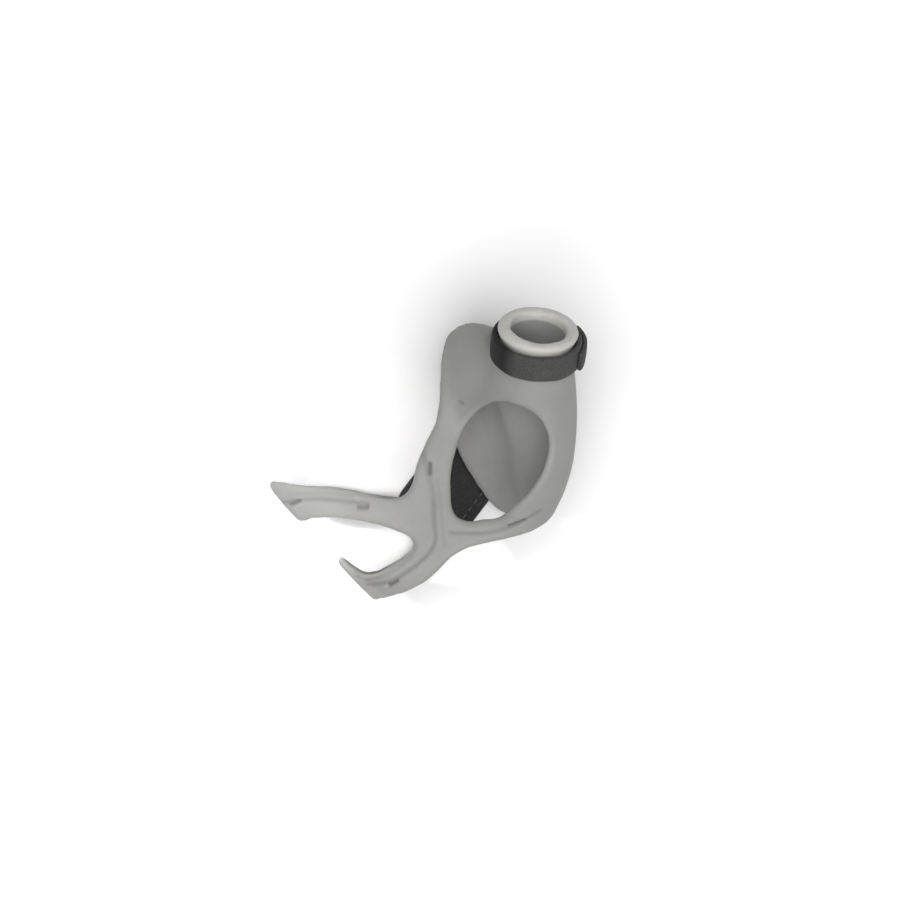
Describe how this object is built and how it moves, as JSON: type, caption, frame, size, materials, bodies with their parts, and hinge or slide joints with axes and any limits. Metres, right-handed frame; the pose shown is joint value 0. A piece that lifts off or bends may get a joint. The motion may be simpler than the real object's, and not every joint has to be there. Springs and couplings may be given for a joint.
{
  "type": "thumb splint",
  "caption": "Moulded splint for the base of a right thumb, with an oval window, two arms round the little-finger side, a strapped thumb collar and a strap across the back of the hand.",
  "frame": {"origin": "middle of the back strap's outer face, below the middle of the palm", "axes": "+Z from the back of the hand to the palm, +Y towards the fingers, +X towards the thumb"},
  "size_m": [0.1132, 0.0699, 0.065],
  "materials": {
    "soft_touch_grey": "matt soft-touch elastomer",
    "strap_charcoal": "brushed loop fabric"
  },
  "bodies": {
    "root": {"frame": "soft_touch_grey", "thumb_strap": "strap_charcoal", "strap_end": "strap_charcoal", "back_strap": "strap_charcoal"}
  },
  "joints": []
}
